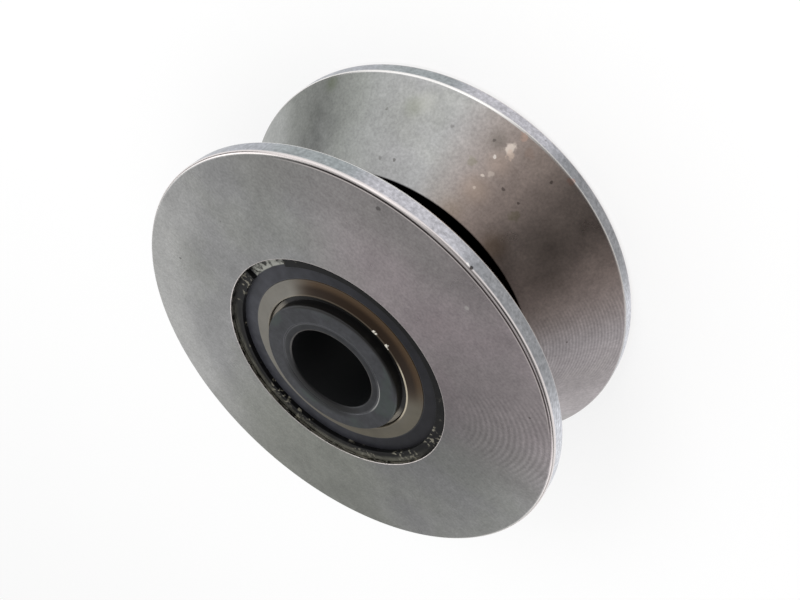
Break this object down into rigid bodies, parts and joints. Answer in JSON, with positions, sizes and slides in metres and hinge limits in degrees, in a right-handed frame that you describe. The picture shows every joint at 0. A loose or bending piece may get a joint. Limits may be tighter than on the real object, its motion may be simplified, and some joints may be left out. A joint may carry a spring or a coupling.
{
  "type": "v groove wheel",
  "caption": "V-groove steel track roller: turned wheel on two sealed tapered roller bearings round a bored hub.",
  "frame": {"origin": "middle of the wheel, on the axis of its axle bore", "axes": "+Z along the axle bore towards the front end plate, so the wheel stands on the rear end of its hub; X and Y lie in the plane of the V track"},
  "size_m": [0.1094, 0.1094, 0.0458],
  "materials": {
    "turned_steel": "turned and ground, bare, satin",
    "black_oxide_steel": "black oxide, dark blue-grey, satin",
    "phosphated_steel": "phosphated sheet, blue-grey, satin",
    "spring_steel": "blackened spring steel",
    "seal_polymer": "moulded, semi-gloss, tan",
    "bearing_steel": "ground and polished",
    "cage_steel": "pressed sheet, oiled"
  },
  "bodies": {
    "hub": {"inner_sleeve": "black_oxide_steel", "cone_spacer": "bearing_steel", "front_end_plate": "black_oxide_steel", "front_cone": "bearing_steel", "rear_end_plate": "black_oxide_steel", "rear_cone": "bearing_steel"},
    "wheel": {"wheel": "turned_steel", "front_retaining_ring": "spring_steel", "front_seal_case": "phosphated_steel", "front_seal_ring": "seal_polymer", "front_cup": "bearing_steel", "rear_retaining_ring": "spring_steel", "rear_seal_case": "phosphated_steel", "rear_seal_ring": "seal_polymer", "rear_cup": "bearing_steel"},
    "front_cage": {"front_cage": "cage_steel"},
    "front_roller_01": {"front_roller_01": "bearing_steel"},
    "front_roller_02": {"front_roller_02": "bearing_steel"},
    "front_roller_03": {"front_roller_03": "bearing_steel"},
    "front_roller_04": {"front_roller_04": "bearing_steel"},
    "front_roller_05": {"front_roller_05": "bearing_steel"},
    "front_roller_06": {"front_roller_06": "bearing_steel"},
    "front_roller_07": {"front_roller_07": "bearing_steel"},
    "front_roller_08": {"front_roller_08": "bearing_steel"},
    "front_roller_09": {"front_roller_09": "bearing_steel"},
    "front_roller_10": {"front_roller_10": "bearing_steel"},
    "front_roller_11": {"front_roller_11": "bearing_steel"},
    "front_roller_12": {"front_roller_12": "bearing_steel"},
    "front_roller_13": {"front_roller_13": "bearing_steel"},
    "front_roller_14": {"front_roller_14": "bearing_steel"},
    "front_roller_15": {"front_roller_15": "bearing_steel"},
    "front_roller_16": {"front_roller_16": "bearing_steel"},
    "front_roller_17": {"front_roller_17": "bearing_steel"},
    "front_roller_18": {"front_roller_18": "bearing_steel"},
    "rear_cage": {"rear_cage": "cage_steel"},
    "rear_roller_01": {"rear_roller_01": "bearing_steel"},
    "rear_roller_02": {"rear_roller_02": "bearing_steel"},
    "rear_roller_03": {"rear_roller_03": "bearing_steel"},
    "rear_roller_04": {"rear_roller_04": "bearing_steel"},
    "rear_roller_05": {"rear_roller_05": "bearing_steel"},
    "rear_roller_06": {"rear_roller_06": "bearing_steel"},
    "rear_roller_07": {"rear_roller_07": "bearing_steel"},
    "rear_roller_08": {"rear_roller_08": "bearing_steel"},
    "rear_roller_09": {"rear_roller_09": "bearing_steel"},
    "rear_roller_10": {"rear_roller_10": "bearing_steel"},
    "rear_roller_11": {"rear_roller_11": "bearing_steel"},
    "rear_roller_12": {"rear_roller_12": "bearing_steel"},
    "rear_roller_13": {"rear_roller_13": "bearing_steel"},
    "rear_roller_14": {"rear_roller_14": "bearing_steel"},
    "rear_roller_15": {"rear_roller_15": "bearing_steel"},
    "rear_roller_16": {"rear_roller_16": "bearing_steel"},
    "rear_roller_17": {"rear_roller_17": "bearing_steel"},
    "rear_roller_18": {"rear_roller_18": "bearing_steel"}
  },
  "joints": [
    {"name": "wheel_spin", "type": "hinge", "parent": "hub", "child": "wheel", "pos_m": [0, 0, 0], "axis": [0, 0, 1], "continuous": true},
    {"name": "front_cage_spin", "type": "hinge", "parent": "hub", "child": "front_cage", "pos_m": [0, 0, 0], "axis": [0, 0, 1], "continuous": true},
    {"name": "front_roller_01_spin", "type": "hinge", "parent": "front_cage", "child": "front_roller_01", "pos_m": [0.02272, 0, 0.00873], "axis": [0.2292, 0, 0.9734], "continuous": true},
    {"name": "front_roller_02_spin", "type": "hinge", "parent": "front_cage", "child": "front_roller_02", "pos_m": [0.02135, 0.00777, 0.00873], "axis": [0.2154, 0.0784, 0.9734], "continuous": true},
    {"name": "front_roller_03_spin", "type": "hinge", "parent": "front_cage", "child": "front_roller_03", "pos_m": [0.0174, 0.0146, 0.00873], "axis": [0.1756, 0.1473, 0.9734], "continuous": true},
    {"name": "front_roller_04_spin", "type": "hinge", "parent": "front_cage", "child": "front_roller_04", "pos_m": [0.01136, 0.01968, 0.00873], "axis": [0.1146, 0.1985, 0.9734], "continuous": true},
    {"name": "front_roller_05_spin", "type": "hinge", "parent": "front_cage", "child": "front_roller_05", "pos_m": [0.00395, 0.02237, 0.00873], "axis": [0.0398, 0.2257, 0.9734], "continuous": true},
    {"name": "front_roller_06_spin", "type": "hinge", "parent": "front_cage", "child": "front_roller_06", "pos_m": [-0.00395, 0.02237, 0.00873], "axis": [-0.0398, 0.2257, 0.9734], "continuous": true},
    {"name": "front_roller_07_spin", "type": "hinge", "parent": "front_cage", "child": "front_roller_07", "pos_m": [-0.01136, 0.01968, 0.00873], "axis": [-0.1146, 0.1985, 0.9734], "continuous": true},
    {"name": "front_roller_08_spin", "type": "hinge", "parent": "front_cage", "child": "front_roller_08", "pos_m": [-0.0174, 0.0146, 0.00873], "axis": [-0.1756, 0.1473, 0.9734], "continuous": true},
    {"name": "front_roller_09_spin", "type": "hinge", "parent": "front_cage", "child": "front_roller_09", "pos_m": [-0.02135, 0.00777, 0.00873], "axis": [-0.2154, 0.0784, 0.9734], "continuous": true},
    {"name": "front_roller_10_spin", "type": "hinge", "parent": "front_cage", "child": "front_roller_10", "pos_m": [-0.02272, 0, 0.00873], "axis": [-0.2292, 0, 0.9734], "continuous": true},
    {"name": "front_roller_11_spin", "type": "hinge", "parent": "front_cage", "child": "front_roller_11", "pos_m": [-0.02135, -0.00777, 0.00873], "axis": [-0.2154, -0.0784, 0.9734], "continuous": true},
    {"name": "front_roller_12_spin", "type": "hinge", "parent": "front_cage", "child": "front_roller_12", "pos_m": [-0.0174, -0.0146, 0.00873], "axis": [-0.1756, -0.1473, 0.9734], "continuous": true},
    {"name": "front_roller_13_spin", "type": "hinge", "parent": "front_cage", "child": "front_roller_13", "pos_m": [-0.01136, -0.01968, 0.00873], "axis": [-0.1146, -0.1985, 0.9734], "continuous": true},
    {"name": "front_roller_14_spin", "type": "hinge", "parent": "front_cage", "child": "front_roller_14", "pos_m": [-0.00395, -0.02237, 0.00873], "axis": [-0.0398, -0.2257, 0.9734], "continuous": true},
    {"name": "front_roller_15_spin", "type": "hinge", "parent": "front_cage", "child": "front_roller_15", "pos_m": [0.00395, -0.02237, 0.00873], "axis": [0.0398, -0.2257, 0.9734], "continuous": true},
    {"name": "front_roller_16_spin", "type": "hinge", "parent": "front_cage", "child": "front_roller_16", "pos_m": [0.01136, -0.01968, 0.00873], "axis": [0.1146, -0.1985, 0.9734], "continuous": true},
    {"name": "front_roller_17_spin", "type": "hinge", "parent": "front_cage", "child": "front_roller_17", "pos_m": [0.0174, -0.0146, 0.00873], "axis": [0.1756, -0.1473, 0.9734], "continuous": true},
    {"name": "front_roller_18_spin", "type": "hinge", "parent": "front_cage", "child": "front_roller_18", "pos_m": [0.02135, -0.00777, 0.00873], "axis": [0.2154, -0.0784, 0.9734], "continuous": true},
    {"name": "rear_cage_spin", "type": "hinge", "parent": "hub", "child": "rear_cage", "pos_m": [0, 0, 0], "axis": [0, 0, 1], "continuous": true},
    {"name": "rear_roller_01_spin", "type": "hinge", "parent": "rear_cage", "child": "rear_roller_01", "pos_m": [0.02272, 0, -0.00873], "axis": [0.2292, 0, -0.9734], "continuous": true},
    {"name": "rear_roller_02_spin", "type": "hinge", "parent": "rear_cage", "child": "rear_roller_02", "pos_m": [0.02135, 0.00777, -0.00873], "axis": [0.2154, 0.0784, -0.9734], "continuous": true},
    {"name": "rear_roller_03_spin", "type": "hinge", "parent": "rear_cage", "child": "rear_roller_03", "pos_m": [0.0174, 0.0146, -0.00873], "axis": [0.1756, 0.1473, -0.9734], "continuous": true},
    {"name": "rear_roller_04_spin", "type": "hinge", "parent": "rear_cage", "child": "rear_roller_04", "pos_m": [0.01136, 0.01968, -0.00873], "axis": [0.1146, 0.1985, -0.9734], "continuous": true},
    {"name": "rear_roller_05_spin", "type": "hinge", "parent": "rear_cage", "child": "rear_roller_05", "pos_m": [0.00395, 0.02237, -0.00873], "axis": [0.0398, 0.2257, -0.9734], "continuous": true},
    {"name": "rear_roller_06_spin", "type": "hinge", "parent": "rear_cage", "child": "rear_roller_06", "pos_m": [-0.00395, 0.02237, -0.00873], "axis": [-0.0398, 0.2257, -0.9734], "continuous": true},
    {"name": "rear_roller_07_spin", "type": "hinge", "parent": "rear_cage", "child": "rear_roller_07", "pos_m": [-0.01136, 0.01968, -0.00873], "axis": [-0.1146, 0.1985, -0.9734], "continuous": true},
    {"name": "rear_roller_08_spin", "type": "hinge", "parent": "rear_cage", "child": "rear_roller_08", "pos_m": [-0.0174, 0.0146, -0.00873], "axis": [-0.1756, 0.1473, -0.9734], "continuous": true},
    {"name": "rear_roller_09_spin", "type": "hinge", "parent": "rear_cage", "child": "rear_roller_09", "pos_m": [-0.02135, 0.00777, -0.00873], "axis": [-0.2154, 0.0784, -0.9734], "continuous": true},
    {"name": "rear_roller_10_spin", "type": "hinge", "parent": "rear_cage", "child": "rear_roller_10", "pos_m": [-0.02272, 0, -0.00873], "axis": [-0.2292, 0, -0.9734], "continuous": true},
    {"name": "rear_roller_11_spin", "type": "hinge", "parent": "rear_cage", "child": "rear_roller_11", "pos_m": [-0.02135, -0.00777, -0.00873], "axis": [-0.2154, -0.0784, -0.9734], "continuous": true},
    {"name": "rear_roller_12_spin", "type": "hinge", "parent": "rear_cage", "child": "rear_roller_12", "pos_m": [-0.0174, -0.0146, -0.00873], "axis": [-0.1756, -0.1473, -0.9734], "continuous": true},
    {"name": "rear_roller_13_spin", "type": "hinge", "parent": "rear_cage", "child": "rear_roller_13", "pos_m": [-0.01136, -0.01968, -0.00873], "axis": [-0.1146, -0.1985, -0.9734], "continuous": true},
    {"name": "rear_roller_14_spin", "type": "hinge", "parent": "rear_cage", "child": "rear_roller_14", "pos_m": [-0.00395, -0.02237, -0.00873], "axis": [-0.0398, -0.2257, -0.9734], "continuous": true},
    {"name": "rear_roller_15_spin", "type": "hinge", "parent": "rear_cage", "child": "rear_roller_15", "pos_m": [0.00395, -0.02237, -0.00873], "axis": [0.0398, -0.2257, -0.9734], "continuous": true},
    {"name": "rear_roller_16_spin", "type": "hinge", "parent": "rear_cage", "child": "rear_roller_16", "pos_m": [0.01136, -0.01968, -0.00873], "axis": [0.1146, -0.1985, -0.9734], "continuous": true},
    {"name": "rear_roller_17_spin", "type": "hinge", "parent": "rear_cage", "child": "rear_roller_17", "pos_m": [0.0174, -0.0146, -0.00873], "axis": [0.1756, -0.1473, -0.9734], "continuous": true},
    {"name": "rear_roller_18_spin", "type": "hinge", "parent": "rear_cage", "child": "rear_roller_18", "pos_m": [0.02135, -0.00777, -0.00873], "axis": [0.2154, -0.0784, -0.9734], "continuous": true}
  ],
  "couplings": [
    {"joint": "front_cage_spin", "follows": "wheel_spin", "ratio": 0.56534},
    {"joint": "front_roller_01_spin", "follows": "wheel_spin", "ratio": 3.661},
    {"joint": "front_roller_02_spin", "follows": "wheel_spin", "ratio": 3.661},
    {"joint": "front_roller_03_spin", "follows": "wheel_spin", "ratio": 3.661},
    {"joint": "front_roller_04_spin", "follows": "wheel_spin", "ratio": 3.661},
    {"joint": "front_roller_05_spin", "follows": "wheel_spin", "ratio": 3.661},
    {"joint": "front_roller_06_spin", "follows": "wheel_spin", "ratio": 3.661},
    {"joint": "front_roller_07_spin", "follows": "wheel_spin", "ratio": 3.661},
    {"joint": "front_roller_08_spin", "follows": "wheel_spin", "ratio": 3.661},
    {"joint": "front_roller_09_spin", "follows": "wheel_spin", "ratio": 3.661},
    {"joint": "front_roller_10_spin", "follows": "wheel_spin", "ratio": 3.661},
    {"joint": "front_roller_11_spin", "follows": "wheel_spin", "ratio": 3.661},
    {"joint": "front_roller_12_spin", "follows": "wheel_spin", "ratio": 3.661},
    {"joint": "front_roller_13_spin", "follows": "wheel_spin", "ratio": 3.661},
    {"joint": "front_roller_14_spin", "follows": "wheel_spin", "ratio": 3.661},
    {"joint": "front_roller_15_spin", "follows": "wheel_spin", "ratio": 3.661},
    {"joint": "front_roller_16_spin", "follows": "wheel_spin", "ratio": 3.661},
    {"joint": "front_roller_17_spin", "follows": "wheel_spin", "ratio": 3.661},
    {"joint": "front_roller_18_spin", "follows": "wheel_spin", "ratio": 3.661},
    {"joint": "rear_cage_spin", "follows": "wheel_spin", "ratio": 0.56534},
    {"joint": "rear_roller_01_spin", "follows": "wheel_spin", "ratio": -3.661},
    {"joint": "rear_roller_02_spin", "follows": "wheel_spin", "ratio": -3.661},
    {"joint": "rear_roller_03_spin", "follows": "wheel_spin", "ratio": -3.661},
    {"joint": "rear_roller_04_spin", "follows": "wheel_spin", "ratio": -3.661},
    {"joint": "rear_roller_05_spin", "follows": "wheel_spin", "ratio": -3.661},
    {"joint": "rear_roller_06_spin", "follows": "wheel_spin", "ratio": -3.661},
    {"joint": "rear_roller_07_spin", "follows": "wheel_spin", "ratio": -3.661},
    {"joint": "rear_roller_08_spin", "follows": "wheel_spin", "ratio": -3.661},
    {"joint": "rear_roller_09_spin", "follows": "wheel_spin", "ratio": -3.661},
    {"joint": "rear_roller_10_spin", "follows": "wheel_spin", "ratio": -3.661},
    {"joint": "rear_roller_11_spin", "follows": "wheel_spin", "ratio": -3.661},
    {"joint": "rear_roller_12_spin", "follows": "wheel_spin", "ratio": -3.661},
    {"joint": "rear_roller_13_spin", "follows": "wheel_spin", "ratio": -3.661},
    {"joint": "rear_roller_14_spin", "follows": "wheel_spin", "ratio": -3.661},
    {"joint": "rear_roller_15_spin", "follows": "wheel_spin", "ratio": -3.661},
    {"joint": "rear_roller_16_spin", "follows": "wheel_spin", "ratio": -3.661},
    {"joint": "rear_roller_17_spin", "follows": "wheel_spin", "ratio": -3.661},
    {"joint": "rear_roller_18_spin", "follows": "wheel_spin", "ratio": -3.661}
  ]
}
